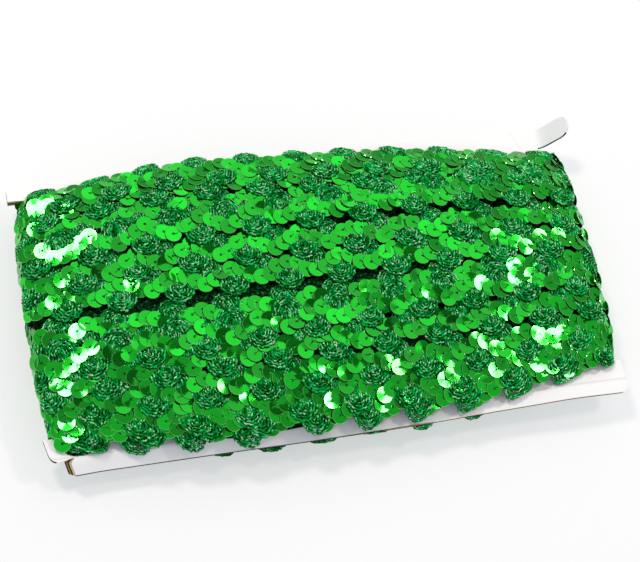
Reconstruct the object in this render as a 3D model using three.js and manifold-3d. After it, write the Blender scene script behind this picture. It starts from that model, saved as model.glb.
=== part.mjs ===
// A sequin trim wound flat, turn over turn, round a notched card.
// Millimetres, +Z up. +X runs along the card and the turns, and the far edge of the pack is at +Y.
// The trim is a wavy chain of round sequins with half-round braid fans in its bends.
// Each turn lies over the far half of the one before it, so the faces show rows of scallops.
import * as THREE from "three";
import Module from "manifold-3d";

// Card
const CARD_LENGTH = 204.6;
const CARD_WIDTH = 107;
const BOARD = 1.6;
const CARD_HEIGHT = 12;
const NOTCH_DEPTH = 9.4;
const NOTCH_NEAR = -41.5;
const NOTCH_FAR = 46.5;
const CORNER_RADIUS = 2.6;

// The strip along the near edge is bent down, most at its left end
const STRIP_WIDTH = 4.9;
const STRIP_BEND = THREE.MathUtils.degToRad(40);
const STRIP_BEND_LEAST = THREE.MathUtils.degToRad(5);
const STRIP_BEND_FROM = -45;
const STRIP_BEND_TO = 25;

// The far right tab curls up past a slanting crease, and the near right tab has a low hump
const CURL_START = 87;
const CURL_SLANT = 0.4;
const CURL_RATE = 0.034;
const CURL_DRAW_IN = 0.0075;
const CURL_EASE = 7;
const HUMP_PLACE = 82;
const HUMP_LENGTH = 13;
const HUMP_HEIGHT = 1.4;
const HUMP_FROM = 46;
const HUMP_TO = 51;
const SPAN_REACH = 80;
const SPAN_STEPS = 12;

// Trim
const WAVE_PERIOD = 19.3;
const WAVE_HEIGHT = 2.6;
const FAN_REACH = 6.4;
const FAN_SCALLOP = 1.9;
const RIM_SCALLOP = 1.2;
const CHAIN_RISE = 0.75;
const FAN_RISE = 0.45;
const LINE_SPACING = 0.7;

// Wound pack
const PACK_REACH = 101;
const CORNER_DRAW_IN = 8;
const TOP_CROWN = 8.2;
const TOP_FULLNESS = 3;
const BASE_CROWN = 11.5;
const BASE_FULLNESS = 4;
const RIM_STEEPNESS = 0.6;
const RIM_HEIGHT = 2.5;
const END_ROUNDNESS = 4;
const SLOT_GAP = 0.35;
const STATION_SPACING = 48;
const TOP_STEPS = 72;
const BASE_STEPS = 26;
const END_STEPS = 5;
const FLAT_SHARE = 0.94;

// Middle lines of the rows from the far edge to the near one, at five stations along the card.
// crest is the place of one crest of the wave, and step is the drop from a row's near edge to the next row.
const ROWS = [
  { stations: [44.2, 48.4, 46.6, 43.6, 38.0], crest: 10.4, step: 0.9 },
  { stations: [38.4, 42.9, 40.8, 38.8, 34.2], crest: 4.4, step: 0.9 },
  { stations: [30.9, 33.6, 31.4, 31.0, 29.4], crest: -2.6, step: 0.9 },
  { stations: [21.5, 25.2, 26.9, 27.4, 25.6], crest: -0.1, step: 2.6 },
  { stations: [11.8, 15.0, 15.5, 15.3, 14.6], crest: -4.9, step: 0.9 },
  { stations: [3.8, 5.0, 5.0, 5.2, 4.6], crest: 7.9, step: 1.1 },
  { stations: [-8.4, -9.2, -8.3, -6.4, -5.6], crest: -5.2, step: 0.6 },
  { stations: [-18.0, -16.4, -13.6, -11.2, -10.2], crest: -5.8, step: 1.1 },
  { stations: [-26.2, -23.6, -22.8, -21.6, -19.6], crest: -2.4, step: 1.1 },
  { stations: [-33.4, -33.4, -33.2, -33.0, -29.6], crest: -8.8, step: 1.2 },
  { stations: [-39.2, -41.6, -41.7, -41.2, -36.0], crest: 3.6, step: 1.2 },
  { stations: [-43.4, -48.2, -47.8, -46.0, -40.0], crest: 6.4, step: 1.2 },
];
const FAR_RIM = [47.4, 54.0, 53.4, 49.8, 42.0];
const NEAR_RIM = [-46.4, -55.4, -54.4, -51.8, -44.0];

const { clamp, smoothstep } = THREE.MathUtils;

// A smooth line through values at evenly spaced stations along X.
function alongCard(values) {
  const points = values.map((value, i) => new THREE.Vector2(i, value));
  const spline = new THREE.SplineCurve(points);
  const half = (STATION_SPACING * (values.length - 1)) / 2;
  return (x) => spline.getPoint(clamp((x + half) / (2 * half), 0, 1)).y;
}

// Card: the middle of the board, bent from a flat sheet
function boardMiddle(x, y) {
  const point = new THREE.Vector3(x, y, CARD_HEIGHT);
  const pastFold = STRIP_WIDTH - CARD_WIDTH / 2 - y;
  if (pastFold > 0) {
    const eased = smoothstep(x, STRIP_BEND_FROM, STRIP_BEND_TO);
    const bend = STRIP_BEND + (STRIP_BEND_LEAST - STRIP_BEND) * eased;
    point.y += pastFold * (1 - Math.cos(bend));
    point.z -= pastFold * Math.sin(bend);
  }
  const pastCrease = x - CURL_START + CURL_SLANT * (y - NOTCH_FAR);
  if (pastCrease > 0) {
    const share = smoothstep(y, NOTCH_FAR - CURL_EASE, NOTCH_FAR);
    point.z += share * CURL_RATE * pastCrease * pastCrease;
    point.x -= share * CURL_DRAW_IN * pastCrease * pastCrease;
  }
  const hump = Math.exp(-(((x - HUMP_PLACE) / HUMP_LENGTH) ** 2));
  point.z += HUMP_HEIGHT * hump * smoothstep(-y, HUMP_FROM, HUMP_TO);
  return point;
}

// The board's skin on one side, measured square to the bent sheet.
function boardSkin(x, y, offset) {
  const small = 0.05;
  const alongX = boardMiddle(x + small, y).sub(boardMiddle(x - small, y));
  const alongY = boardMiddle(x, y + small).sub(boardMiddle(x, y - small));
  return boardMiddle(x, y).addScaledVector(alongX.cross(alongY).normalize(), offset);
}

// A closed sheet over the kept cells of a grid of lines, with an upper and a lower skin and walls on its edges.
function sheetGeometry(xs, ys, isKept, upper, lower) {
  const positions = [];
  const indices = [];
  for (const skin of [upper, lower]) {
    for (const x of xs) {
      for (const y of ys) {
        positions.push(...skin(x, y).toArray());
      }
    }
  }
  const layer = xs.length * ys.length;
  const at = (i, j) => i * ys.length + j;
  const kept = (i, j) =>
    i >= 0 && j >= 0 && i < xs.length - 1 && j < ys.length - 1 &&
    isKept((xs[i] + xs[i + 1]) / 2, (ys[j] + ys[j + 1]) / 2);
  const quad = (a, b, c, d) => indices.push(a, b, c, a, c, d);
  for (let i = 0; i < xs.length - 1; i++) {
    for (let j = 0; j < ys.length - 1; j++) {
      if (!kept(i, j)) continue;
      const corners = [at(i, j), at(i + 1, j), at(i + 1, j + 1), at(i, j + 1)];
      const beyond = [kept(i, j - 1), kept(i + 1, j), kept(i, j + 1), kept(i - 1, j)];
      const [a, b, c, d] = corners;
      quad(a, b, c, d);
      quad(layer + d, layer + c, layer + b, layer + a);
      corners.forEach((corner, side) => {
        const next = corners[(side + 1) % 4];
        if (!beyond[side]) quad(corner, layer + corner, layer + next, next);
      });
    }
  }
  return solidGeometry(positions, indices);
}

// Only the vertices that a triangle uses are kept.
function solidGeometry(positions, indices) {
  const used = new Map();
  const packed = [];
  const renumbered = indices.map((index) => {
    if (!used.has(index)) {
      used.set(index, used.size);
      packed.push(...positions.slice(3 * index, 3 * index + 3));
    }
    return used.get(index);
  });
  return new THREE.BufferGeometry()
    .setAttribute("position", new THREE.Float32BufferAttribute(packed, 3))
    .setIndex(renumbered);
}

// Evenly spaced numbers from one end to the other, both included.
function spaced(from, to, steps) {
  return Array.from({ length: steps + 1 }, (_, i) => from + ((to - from) * i) / steps);
}

function cardGeometry() {
  const end = CARD_LENGTH / 2;
  const notch = end - NOTCH_DEPTH;
  const edge = CARD_WIDTH / 2;
  const round = CORNER_RADIUS;
  const xs = [
    -end, -end + 0.3 * round, -end + round, -notch,
    ...spaced(-SPAN_REACH, SPAN_REACH, SPAN_STEPS),
    CURL_START, ...spaced(notch, end - round, 4), end - 0.3 * round, end,
  ];
  const ys = [
    -edge, -edge + 0.3 * round, -edge + round, -edge + STRIP_WIDTH, -edge + STRIP_WIDTH + 1.5,
    NOTCH_NEAR, 0, NOTCH_FAR - CURL_EASE, NOTCH_FAR - 3, NOTCH_FAR,
    NOTCH_FAR + 2.4, edge - round, edge - 0.3 * round, edge,
  ];
  const isKept = (x, y) => {
    const inNotch = Math.abs(x) > notch && y > NOTCH_NEAR && y < NOTCH_FAR;
    const inCutAway = x < -notch && y < -edge + STRIP_WIDTH;
    return !inNotch && !inCutAway;
  };
  // The outer corners are drawn in to an arc.
  const rounded = (x, y) => {
    const low = x < 0 ? -edge + STRIP_WIDTH : -edge;
    const nearX = Math.abs(x) - (end - round);
    const nearY = y > 0 ? y - (edge - round) : low + round - y;
    if (nearX <= 0 || nearY <= 0) return [x, y];
    const length = Math.hypot(nearX, nearY);
    const scale = Math.max(nearX, nearY) / length;
    const sideways = Math.sign(x) * nearX * (1 - scale);
    const lengthways = (y > 0 ? 1 : -1) * nearY * (1 - scale);
    return [x - sideways, y - lengthways];
  };
  const skin = (offset) => (x, y) => boardSkin(...rounded(x, y), offset);
  return sheetGeometry(xs, ys, isKept, skin(BOARD / 2), skin(-BOARD / 2));
}

// The room that the pack leaves for the card, open to the outside along both long edges.
function slotGeometry() {
  const notch = CARD_LENGTH / 2 - NOTCH_DEPTH + SLOT_GAP;
  const clear = BOARD / 2 + SLOT_GAP;
  const outside = 12;
  const end = CARD_LENGTH / 2;
  const edge = CARD_WIDTH / 2;
  const round = CORNER_RADIUS;
  const xs = [
    -end - outside, -notch, ...spaced(-SPAN_REACH, SPAN_REACH, SPAN_STEPS),
    CURL_START, ...spaced(notch, end - round, 4), end + outside,
  ];
  const ys = [
    -edge - outside, -edge, -edge + 0.3 * round, -edge + round, -edge + STRIP_WIDTH, -edge + STRIP_WIDTH + 1.5,
    NOTCH_NEAR + SLOT_GAP, 0, NOTCH_FAR - CURL_EASE, NOTCH_FAR - 3, NOTCH_FAR - SLOT_GAP,
    NOTCH_FAR + 2.4, edge - round, edge, edge + outside,
  ];
  const isKept = (x, y) => {
    const inNotch = y > NOTCH_NEAR + SLOT_GAP && y < NOTCH_FAR - SLOT_GAP;
    return Math.abs(x) < notch || !inNotch;
  };
  // Over the bent strip the room goes straight on, because the fans above it don't bend down with it.
  const upper = (x, y) => {
    const point = boardSkin(x, y, clear);
    point.z = Math.max(point.z, CARD_HEIGHT + clear);
    return point;
  };
  return sheetGeometry(xs, ys, isKept, upper, (x, y) => boardSkin(x, y, -clear));
}

// Stations once round a turn, as shares of its reach and its height: top, right end, underside, left end.
function turnStations() {
  const heightAt = (x) => (1 - Math.abs(x) ** END_ROUNDNESS) ** (1 / END_ROUNDNESS);
  const shoulder = heightAt(FLAT_SHARE);
  const face = (from, to, steps, side) =>
    spaced(from, to, steps).map((x) => new THREE.Vector2(x, side * heightAt(x)));
  const end = (side) =>
    spaced(side * shoulder, -side * shoulder, END_STEPS + 1)
      .slice(1, -1)
      .map((z) => new THREE.Vector2(side * heightAt(z), z));
  return [
    ...face(-FLAT_SHARE, FLAT_SHARE, TOP_STEPS, 1),
    ...end(1),
    ...face(FLAT_SHARE, -FLAT_SHARE, BASE_STEPS, -1),
    ...end(-1),
  ];
}

// Lines across the pack at one station, far rim to near rim. Each is a place in Y, a rise and a rim share.
function linesAcross(x, travel) {
  const far = farRim(x);
  const near = nearRim(x);
  const waves = ROWS.map((row) => Math.cos((2 * Math.PI * (travel - row.crest)) / WAVE_PERIOD));
  const chains = ROWS.map((row, i) => rowMiddles[i](x) + WAVE_HEIGHT * waves[i]);
  const last = ROWS.length - 1;
  const lines = [{ y: far - RIM_SCALLOP * waves[0], rise: 0 }];
  lines.push({ y: (far + chains[0]) / 2, rise: FAN_RISE });
  for (let i = 0; i < last; i++) {
    const fanEdge = rowMiddles[i](x) - FAN_REACH - FAN_SCALLOP * waves[i];
    const edge = Math.max(fanEdge, chains[i + 1] + 2 * LINE_SPACING);
    lines.push({ y: chains[i], rise: CHAIN_RISE });
    lines.push({ y: edge, rise: FAN_RISE });
    lines.push({ y: edge - LINE_SPACING, rise: -ROWS[i].step });
  }
  lines.push({ y: chains[last], rise: CHAIN_RISE });
  lines.push({ y: (chains[last] + near) / 2, rise: FAN_RISE });
  lines.push({ y: near - RIM_SCALLOP * waves[last], rise: 0 });
  for (let i = 1; i < lines.length; i++) {
    const room = (lines.length - 1 - i) * 0.25 * LINE_SPACING;
    lines[i].y = Math.min(lines[i].y, lines[i - 1].y - LINE_SPACING);
    lines[i].y = Math.max(lines[i].y, near - RIM_SCALLOP + room);
  }
  return lines;
}

// Half the pack's height over or under the card, from the middle of the pack to its rims.
function halfHeight(y, x, crown, fullness) {
  const share = clamp(y > 0 ? y / farRim(x) : y / nearRim(x), 0, 1);
  return RIM_HEIGHT + crown * (1 - share ** fullness) ** RIM_STEEPNESS;
}

// The pack as one closed body, with the slot for the card not yet cut.
function packGeometry() {
  const stations = turnStations();
  const positions = [];
  const indices = [];
  const places = stations.map((s) => new THREE.Vector2(PACK_REACH * s.x, (TOP_CROWN + RIM_HEIGHT) * s.y));
  let travel = places[0].x;
  const loops = stations.map((station, i) => {
    if (i > 0) travel += places[i].distanceTo(places[i - 1]);
    const middle = PACK_REACH * station.x;
    return linesAcross(middle, travel).map((line) => {
      const corner = Math.abs(line.y / farRim(0)) ** 4;
      const reach = PACK_REACH - CORNER_DRAW_IN * corner;
      const above = station.y > 0;
      const half = above
        ? halfHeight(line.y, middle, TOP_CROWN, TOP_FULLNESS)
        : halfHeight(line.y, middle, BASE_CROWN, BASE_FULLNESS);
      const outward = new THREE.Vector2(
        Math.sign(station.x) * Math.abs(station.x) ** (END_ROUNDNESS - 1) / reach,
        Math.sign(station.y) * Math.abs(station.y) ** (END_ROUNDNESS - 1) / half,
      ).normalize();
      const x = reach * station.x + line.rise * outward.x;
      const z = CARD_HEIGHT + half * station.y + line.rise * outward.y;
      return new THREE.Vector3(x, line.y, Math.max(z, 0));
    });
  });
  const across = loops[0].length;
  const around = loops.length;
  for (const loop of loops) {
    for (const point of loop) {
      positions.push(...point.toArray());
    }
  }
  for (let i = 0; i < around; i++) {
    const next = (i + 1) % around;
    for (let j = 0; j < across - 1; j++) {
      const a = i * across + j;
      const b = next * across + j;
      indices.push(a, a + 1, b, b, a + 1, b + 1);
    }
  }
  for (const rim of [0, across - 1]) {
    const outline = loops.map((loop) => new THREE.Vector2(loop[rim].x, loop[rim].z));
    for (const face of THREE.ShapeUtils.triangulateShape(outline, [])) {
      const [a, b, c] = face.map((i) => i * across + rim);
      const isClockwise = THREE.ShapeUtils.isClockWise(face.map((i) => outline[i]));
      if (isClockwise === (rim === 0)) indices.push(a, b, c);
      else indices.push(a, c, b);
    }
  }
  return solidGeometry(positions, indices);
}

// Booleans
const wasm = await Module();
wasm.setup();

function toSolid(geometry) {
  const mesh = new wasm.Mesh({
    numProp: 3,
    vertProperties: new Float32Array(geometry.getAttribute("position").array),
    triVerts: new Uint32Array(geometry.index.array),
  });
  return new wasm.Manifold(mesh);
}

function toGeometry(solid) {
  const mesh = solid.getMesh();
  return new THREE.BufferGeometry()
    .setAttribute("position", new THREE.BufferAttribute(mesh.vertProperties, 3))
    .setIndex(new THREE.BufferAttribute(mesh.triVerts, 1));
}

const farRim = alongCard(FAR_RIM);
const nearRim = alongCard(NEAR_RIM);
const rowMiddles = ROWS.map((row) => alongCard(row.stations));

const green = new THREE.MeshStandardMaterial({ color: 0x0b9a38, roughness: 0.35, metalness: 0.35 });
const white = new THREE.MeshStandardMaterial({ color: 0xf1f1ef, roughness: 0.85, metalness: 0 });

function addPiece(group, name, geometry, material) {
  const mesh = new THREE.Mesh(geometry, material);
  mesh.name = name;
  group.add(mesh);
}

const pack = new THREE.Group();
addPiece(pack, "card", cardGeometry(), white);
addPiece(pack, "wound_trim", toGeometry(toSolid(packGeometry()).subtract(toSolid(slotGeometry()))), green);

// The origin is at the bottom centre of the whole pack.
const box = new THREE.Box3().setFromObject(pack);
pack.position.set(-(box.min.x + box.max.x) / 2, -(box.min.y + box.max.y) / 2, -box.min.z);

export default pack;
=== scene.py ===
import bpy
import numpy as np
from mathutils import Matrix


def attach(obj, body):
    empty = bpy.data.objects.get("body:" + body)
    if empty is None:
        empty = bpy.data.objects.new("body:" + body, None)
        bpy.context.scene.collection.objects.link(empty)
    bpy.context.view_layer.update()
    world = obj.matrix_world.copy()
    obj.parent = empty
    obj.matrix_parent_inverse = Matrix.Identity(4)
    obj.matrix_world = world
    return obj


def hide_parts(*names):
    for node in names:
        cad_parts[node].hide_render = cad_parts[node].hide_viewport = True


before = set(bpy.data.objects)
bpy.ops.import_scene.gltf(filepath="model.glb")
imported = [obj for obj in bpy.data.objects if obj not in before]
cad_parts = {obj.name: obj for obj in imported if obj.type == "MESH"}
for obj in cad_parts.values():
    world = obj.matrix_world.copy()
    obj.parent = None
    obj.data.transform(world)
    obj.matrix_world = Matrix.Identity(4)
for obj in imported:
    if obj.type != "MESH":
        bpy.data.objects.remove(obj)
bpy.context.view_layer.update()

# The card. Two plies of brown board faced with white paper, cut with a shallow notch in each short end
# that keeps the turns in place. Its near edge is creased down, and its far right tab has curled up.
MM = 0.001
CARD_MIDDLE = np.array([-0.012, 0.745, 12.0])
HALF_LENGTH = 204.6 / 2
HALF_WIDTH = 107.0 / 2
BOARD = 1.6
NOTCH_END = HALF_LENGTH - 9.4
NOTCH_NEAR = -41.5
NOTCH_FAR = 46.5
CORNER_RADIUS = 2.6
STRIP_WIDTH = 4.9
STRIP_WIDENING = 0.24
FOLD_Y = STRIP_WIDTH - HALF_WIDTH
FOLD_ON_LEFT = 40
FOLD_ON_RIGHT = 5
CREASE_X = 87
CREASE_SLANT = 0.4
CURL_RISE = 0.031
CURL_SPREAD = 0.002
TAB_SHIFT = 1.8
DIP_X = 94
DIP_DEPTH = 3.6
HUMP_X = 82
HUMP_HEIGHT = 1.4
LOWER_PLY_JUT = 3.9
UPPER_PLY_JUT = 1.7
JUT_TAPER = 1.6


def eased(value, low, high):
    """0 up to low and 1 from high on, with 3u² - 2u³ of the share u between them."""
    share = np.clip((value - low) / (high - low), 0, 1)
    return share * share * (3 - 2 * share)


def board_middle(x, y):
    """The middle of the bent board. Past the near fold a point swings down by the fold's angle, which eases
    along the card, and the strip there is a quarter wider on the left. Past the slanting crease the far
    right tab rises with the square of the distance, less a bell-shaped dip, and it stands a little further
    right. The near right tab has a bell-shaped hump, and the near left corner is bent inwards and down."""
    past_fold = np.maximum(FOLD_Y - y, 0)
    longer = STRIP_WIDENING * past_fold * (1 - eased(x, 10, 70))
    fold = np.radians(FOLD_ON_LEFT - (FOLD_ON_LEFT - FOLD_ON_RIGHT) * eased(x, -45, 25))
    past_crease = np.maximum(x - CREASE_X + CREASE_SLANT * (y - NOTCH_FAR), 0)
    far_right = eased(y, NOTCH_FAR - 7, NOTCH_FAR)
    curl = far_right * past_crease**2
    dip = DIP_DEPTH * far_right * np.exp(-(((x - DIP_X) / 4.5) ** 2))
    hump = HUMP_HEIGHT * np.exp(-(((x - HUMP_X) / 13) ** 2)) * eased(-y, 46, 51)
    corner = eased(-x, 94, 101) * eased(-y, 41, 48)
    along = x + CURL_SPREAD * curl + TAB_SHIFT * far_right * eased(x, 84, 93) + 1.4 * corner
    across = y + past_fold - (past_fold + longer) * np.cos(fold) - 0.9 * corner
    up = CURL_RISE * curl - dip - (past_fold + longer) * np.sin(fold) + hump - 0.3 * corner
    return np.stack([along, across, up], axis=-1)


def unit(vectors):
    """The vectors divided by their lengths."""
    return vectors / np.linalg.norm(vectors, axis=-1, keepdims=True)


def board_skin(x, y, offset):
    """The board's middle moved by offset along the cross product of its two slopes. At the left end the
    plies have come apart: the board is about twice as thick at the corners of both long edges, and the
    plies of the near strip jut out to the left, the lower ones further, and less towards its outer edge."""
    near_corner = eased(-x, 84, 92.9) * (y < FOLD_Y - 0.1)
    far_corner = eased(-x, 91, 101) * (y > NOTCH_FAR - 0.1)
    share = (FOLD_Y - y) / STRIP_WIDTH
    x = x - near_corner * (np.where(offset < 0, LOWER_PLY_JUT, UPPER_PLY_JUT) - JUT_TAPER * share)
    offset = offset * (1 + near_corner + 0.9 * far_corner)
    small = 0.05
    slope_x = board_middle(x + small, y) - board_middle(x - small, y)
    slope_y = board_middle(x, y + small) - board_middle(x, y - small)
    return board_middle(x, y) + offset[..., None] * unit(np.cross(slope_x, slope_y))


def rounded_corner(x, y):
    """Draws the outer corners of the grid, and the far right tab's corner at the notch, in to an arc: the
    longer of the two distances past the corner's centre becomes the radius of the arc of the point."""
    tab_corner = (x > 0) & (y > 0) & (y < NOTCH_FAR + CORNER_RADIUS)
    low = np.where(x < 0, FOLD_Y, np.where(tab_corner, NOTCH_FAR, -HALF_WIDTH))
    upwards = (y > 0) & ~tab_corner
    past_x = np.abs(x) - (HALF_LENGTH - CORNER_RADIUS)
    past_y = np.where(upwards, y - (HALF_WIDTH - CORNER_RADIUS), low + CORNER_RADIUS - y)
    in_corner = (past_x > 0) & (past_y > 0)
    length = np.hypot(past_x, past_y)
    scale = np.where(in_corner, np.maximum(past_x, past_y) / np.maximum(length, 1e-9), 1)
    side = np.where(upwards, 1, -1)
    return x - np.sign(x) * past_x * (1 - scale), y - side * past_y * (1 - scale)


def is_card(x, y):
    """True inside the card's outline: outside both notches, and right of the step in the near strip."""
    past_notch = np.abs(x) > NOTCH_END
    in_notch = past_notch & (y > NOTCH_NEAR) & (y < NOTCH_FAR)
    in_step = past_notch & (x < 0) & (y < FOLD_Y)
    return ~in_notch & ~in_step


def sheet_over(xs, ys, is_kept, skin, thickness):
    """Two skins over the kept cells of a grid, half a thickness to each side, with a wall of quads along
    every side of a cell whose neighbour isn't kept. Gives points, faces, True for each wall, and for each
    point its x and y on the grid and whether it is on the upper skin."""
    x, y = np.meshgrid(xs, ys, indexing="ij")
    points = np.concatenate([skin(x, y, side * thickness / 2).reshape(-1, 3) for side in (1, -1)])
    number = np.arange(x.size).reshape(x.shape)
    corners = [number[:-1, :-1], number[1:, :-1], number[1:, 1:], number[:-1, 1:]]
    kept = is_kept((x[:-1, :-1] + x[1:, 1:]) / 2, (y[:-1, :-1] + y[1:, 1:]) / 2)
    around = np.pad(kept, 1)
    beyond = [around[1:-1, :-2], around[2:, 1:-1], around[1:-1, 2:], around[:-2, 1:-1]]
    top = np.stack(corners, axis=-1)[kept]
    base = np.stack(corners[::-1], axis=-1)[kept] + x.size
    walls = []
    for side, neighbour in enumerate(beyond):
        start, end = corners[side], corners[(side + 1) % 4]
        wall = np.stack([start, start + x.size, end + x.size, end], axis=-1)
        walls.append(wall[kept & ~neighbour])
    walls = np.concatenate(walls)
    faces = np.concatenate([top, base, walls])
    used, faces = np.unique(faces, return_inverse=True)
    is_wall = np.arange(len(top) + len(base) + len(walls)) >= len(top) + len(base)
    on_grid = x.ravel()[used % x.size], y.ravel()[used % x.size], used < x.size
    return points[used], faces.reshape(-1, 4), is_wall, on_grid


class Shade:
    """One output of a material's nodes, so that shader maths is written as an expression."""

    def __init__(self, tree, socket=None):
        self.tree = tree
        self.socket = socket

    def node(self, kind, settings=None, inputs=None, output=0):
        """Adds a node, makes its settings, then sets or links its inputs, and gives one of its outputs."""
        made = self.tree.nodes.new("ShaderNode" + kind)
        for name, value in (settings or {}).items():
            if name == "stops":
                set_stops(made.color_ramp, value)
            else:
                setattr(made, name, value)
        for key, value in (inputs or {}).items():
            if isinstance(value, Shade):
                self.tree.links.new(value.socket, made.inputs[key])
            else:
                made.inputs[key].default_value = value
        return Shade(self.tree, made.outputs[output])

    def maths(self, operation, first, second=0.0):
        return self.node("Math", {"operation": operation}, {0: first, 1: second})

    def mix(self, first, second):
        """The first colour where this is 0 and the second where it is 1."""
        return self.node("Mix", {"data_type": "RGBA"}, {0: self, 6: first, 7: second}, output=2)

    def __add__(self, other):
        return self.maths("ADD", self, other)

    def __sub__(self, other):
        return self.maths("SUBTRACT", self, other)

    def __rsub__(self, other):
        return self.maths("SUBTRACT", other, self)

    def __mul__(self, other):
        return self.maths("MULTIPLY", self, other)

    def __truediv__(self, other):
        return self.maths("DIVIDE", self, other)

    def __abs__(self):
        return self.maths("ABSOLUTE", self)

    __radd__ = __add__
    __rmul__ = __mul__


def set_stops(ramp, stops):
    """Gives a colour ramp its stops, each a place and a colour."""
    while len(ramp.elements) < len(stops):
        ramp.elements.new(1.0)
    for element, (place, colour) in zip(ramp.elements, stops):
        element.position = place
        element.color = colour


def paint(red, green, blue):
    """A colour given in 0 to 255 as the linear light that Blender works in."""
    share = np.array([red, green, blue]) / 255
    linear = np.where(share <= 0.04045, share / 12.92, ((share + 0.055) / 1.055) ** 2.4)
    return (*linear.tolist(), 1.0)


def finish_of(name, constants, build):
    """A material of one Principled shader: constants are set on its sockets, and build links the rest."""
    material = bpy.data.materials.new(name)
    material.use_nodes = True
    tree = material.node_tree
    shader = tree.nodes["Principled BSDF"]
    for socket, value in constants.items():
        shader.inputs[socket].default_value = value
    for socket, shade in build(Shade(tree)).items():
        tree.links.new(shade.socket, shader.inputs[socket])
    return material


def add_piece(name, points, faces, materials, indices=None, attributes=None, smooth=None):
    """A mesh from points in millimetres from the card's middle, riding on the one body of the pack.
    Edges sharper than the angle smooth, in degrees, stay sharp."""
    mesh = bpy.data.meshes.new(name)
    mesh.from_pydata(((points + CARD_MIDDLE) * MM).tolist(), [], faces.tolist())
    for material in materials:
        mesh.materials.append(material)
    if indices is not None:
        mesh.polygons.foreach_set("material_index", indices)
    for key, values in (attributes or {}).items():
        mesh.attributes.new(key, "FLOAT", "POINT").data.foreach_set("value", values)
    if smooth is not None:
        mesh.polygons.foreach_set("use_smooth", np.ones(len(faces), bool))
        mesh.set_sharp_from_angle(angle=np.radians(smooth))
    piece = bpy.data.objects.new(name, mesh)
    bpy.context.scene.collection.objects.link(piece)
    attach(piece, "root")
    return piece


def white_face(start):
    """Smooth white paper with faint clouds and fibres, a grey line of painted shade along the fold of the
    near strip and the crease of the far right tab, and brown board showing where the near edge is worn."""
    place = start.node("TexCoord", output="Object")
    cloud = start.node("TexNoise", inputs={"Vector": place, "Scale": 45.0, "Detail": 3.0})
    fibre = start.node("TexNoise", inputs={"Vector": place, "Scale": 2600.0, "Detail": 3.0})
    across = start.node("SeparateXYZ", inputs={0: place}, output="Y")
    fold_line = (FOLD_Y + CARD_MIDDLE[1]) * MM
    off_fold = abs(across - fold_line) / (0.7 * MM)
    fold = start.maths("MAXIMUM", 1 - off_fold, 0.0)
    along = start.node("SeparateXYZ", inputs={0: place}, output="X")
    crease_line = (CREASE_X + CREASE_SLANT * (NOTCH_FAR + CARD_MIDDLE[1])) * MM
    off_crease = abs(along + across * CREASE_SLANT - crease_line) / (0.5 * MM)
    fold = fold + start.maths("MAXIMUM", 1 - off_crease, 0.0) * 0.6
    colour = cloud.mix(paint(242, 241, 247), paint(252, 252, 253))
    # Painted shade: a grey line along the fold of the near strip and the crease of the far right tab.
    colour = (fold * 0.35).mix(colour, paint(188, 184, 186))
    worn = start.node("Attribute", {"attribute_name": "worn"}, output="Fac")
    brown = start.node("MapRange", inputs={0: worn + (cloud - 0.5) * 0.2, 1: 0.06, 2: 0.2, 3: 0.0, 4: 0.95})
    colour = brown.mix(colour, paint(56, 38, 24))
    bump = start.node("Bump", inputs={"Strength": 0.25, "Distance": 0.00004, "Height": fibre - fold * 0.8})
    return {"Base Color": colour, "Roughness": cloud * 0.2 + 0.5, "Normal": bump}


def cut_edge(start):
    """The cut plies from face to face: dark brown, a yellowish core, dark glue, and a cream upper ply."""
    place = start.node("TexCoord", output="Object")
    tear = start.node("TexNoise", inputs={"Vector": place, "Scale": 1400.0, "Detail": 4.0})
    depth = start.node("Attribute", {"attribute_name": "depth"}, output="Fac")
    colour = start.node("ValToRGB", {"stops": [
        (0.18, paint(24, 15, 9)), (0.26, paint(156, 126, 66)), (0.4, paint(156, 126, 66)),
        (0.47, paint(30, 20, 8)), (0.62, paint(40, 26, 10)), (0.7, paint(206, 184, 136)),
        (0.92, paint(214, 196, 156)), (1.0, paint(60, 40, 24)),
    ]}, {"Fac": depth + (tear - 0.5) * 0.2})
    bump = start.node("Bump", inputs={"Strength": 0.6, "Distance": 0.0001, "Height": tear})
    return {"Base Color": colour, "Normal": bump}


# The grid is fine at the rounded corners, where the board folds, and along the curled tab.
corner_steps = CORNER_RADIUS * np.array([0, 0.13, 0.28, 0.48, 0.72, 1.0])
card_xs = np.concatenate([
    corner_steps - HALF_LENGTH,
    [-NOTCH_END],
    np.linspace(-90, 85, 51),
    np.linspace(CREASE_X, NOTCH_END, 5),
    np.linspace(NOTCH_END, HALF_LENGTH - CORNER_RADIUS, 8)[1:-1],
    (HALF_LENGTH - corner_steps)[::-1],
])
card_ys = np.concatenate([
    corner_steps - HALF_WIDTH,
    [-HALF_WIDTH + 3.8, FOLD_Y],
    FOLD_Y + corner_steps[1:],
    np.linspace(NOTCH_NEAR, 38, 20),
    [41, 43, 45],
    NOTCH_FAR + corner_steps,
    (HALF_WIDTH - corner_steps)[::-1],
])
card_points, card_faces, is_wall, (grid_x, grid_y, is_upper) = sheet_over(
    card_xs, card_ys, is_card, lambda x, y, offset: board_skin(*rounded_corner(x, y), offset), BOARD
)
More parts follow.
